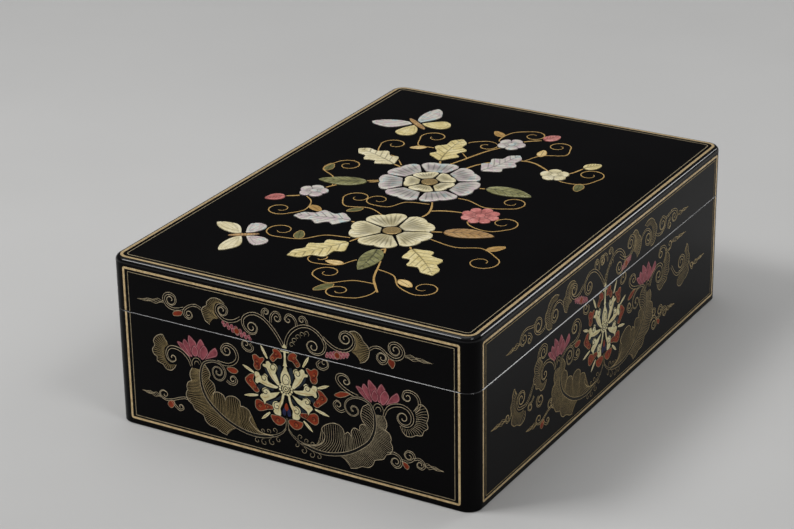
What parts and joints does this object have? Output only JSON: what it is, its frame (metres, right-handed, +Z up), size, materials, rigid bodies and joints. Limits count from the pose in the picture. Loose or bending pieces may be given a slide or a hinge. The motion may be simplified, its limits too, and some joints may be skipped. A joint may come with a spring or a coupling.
{
  "type": "lacquer box",
  "caption": "Flat black lacquered document box with a flush lift-off lid, gold line borders and scroll work, and inlaid shell and stone flowers.",
  "frame": {"origin": "middle of the underside, on the surface that the box stands on", "axes": "+Z up, the way the lid lifts; +Y along the long side; +X across the short side"},
  "size_m": [0.26, 0.36, 0.1157],
  "materials": {
    "black_lacquer": "polished black lacquer over wood",
    "inner_lacquer": "satin black lacquer over wood",
    "pearl_shell": "carved and polished mother-of-pearl",
    "cream_stone": "polished pale soapstone",
    "yellow_stone": "polished yellow soapstone",
    "ochre_stone": "polished ochre soapstone",
    "olive_stone": "polished olive green soapstone",
    "coral_stone": "polished coral pink stone",
    "gold_metal": "gilded"
  },
  "bodies": {
    "base": {"base_back_wall": "black_lacquer", "base_floor": "inner_lacquer", "base_front_wall": "black_lacquer", "base_left_wall": "black_lacquer", "base_right_wall": "black_lacquer", "lip_back": "inner_lacquer", "lip_front": "inner_lacquer", "lip_left": "inner_lacquer", "lip_right": "inner_lacquer"},
    "lid": {"blossom_1": "pearl_shell", "blossom_2": "cream_stone", "blossom_3": "pearl_shell", "bud_1": "coral_stone", "bud_2": "yellow_stone", "bud_3": "coral_stone", "butterfly_1_body": "ochre_stone", "butterfly_1_forewing_left": "pearl_shell", "butterfly_1_forewing_right": "pearl_shell", "butterfly_1_hindwing_left": "yellow_stone", "butterfly_1_hindwing_right": "yellow_stone", "butterfly_2_body": "ochre_stone", "butterfly_2_forewing_left": "cream_stone", "butterfly_2_forewing_right": "cream_stone", "butterfly_2_hindwing_left": "pearl_shell", "butterfly_2_hindwing_right": "pearl_shell", "coral_blossom": "coral_stone", "cream_peony_1": "cream_stone", "cream_peony_2": "cream_stone", "cream_peony_3": "cream_stone", "cream_peony_4": "cream_stone", "cream_peony_5": "cream_stone", "cream_peony_heart": "gold_metal", "leaf_1": "yellow_stone", "leaf_10": "yellow_stone", "leaf_2": "cream_stone", "leaf_3": "olive_stone", "leaf_4": "pearl_shell", "leaf_5": "olive_stone", "leaf_6": "yellow_stone", "leaf_7": "pearl_shell", "leaf_8": "ochre_stone", "leaf_9": "olive_stone", "lid_back_wall": "black_lacquer", "lid_front_wall": "black_lacquer", "lid_left_wall": "black_lacquer", "lid_right_wall": "black_lacquer", "lid_top_board": "black_lacquer", "pearl_peony_heart": "gold_metal", "pearl_peony_inner_1": "cream_stone", "pearl_peony_inner_2": "cream_stone", "pearl_peony_inner_3": "cream_stone", "pearl_peony_inner_4": "cream_stone", "pearl_peony_inner_5": "cream_stone", "pearl_peony_outer_1": "pearl_shell", "pearl_peony_outer_2": "pearl_shell", "pearl_peony_outer_3": "pearl_shell", "pearl_peony_outer_4": "pearl_shell", "pearl_peony_outer_5": "pearl_shell", "pearl_peony_outer_6": "pearl_shell", "pearl_peony_outer_7": "pearl_shell"}
  },
  "joints": [
    {"name": "lid_lift", "type": "slide", "parent": "base", "child": "lid", "axis": [0, 0, 1], "range_m": [0, 0.08]}
  ]
}
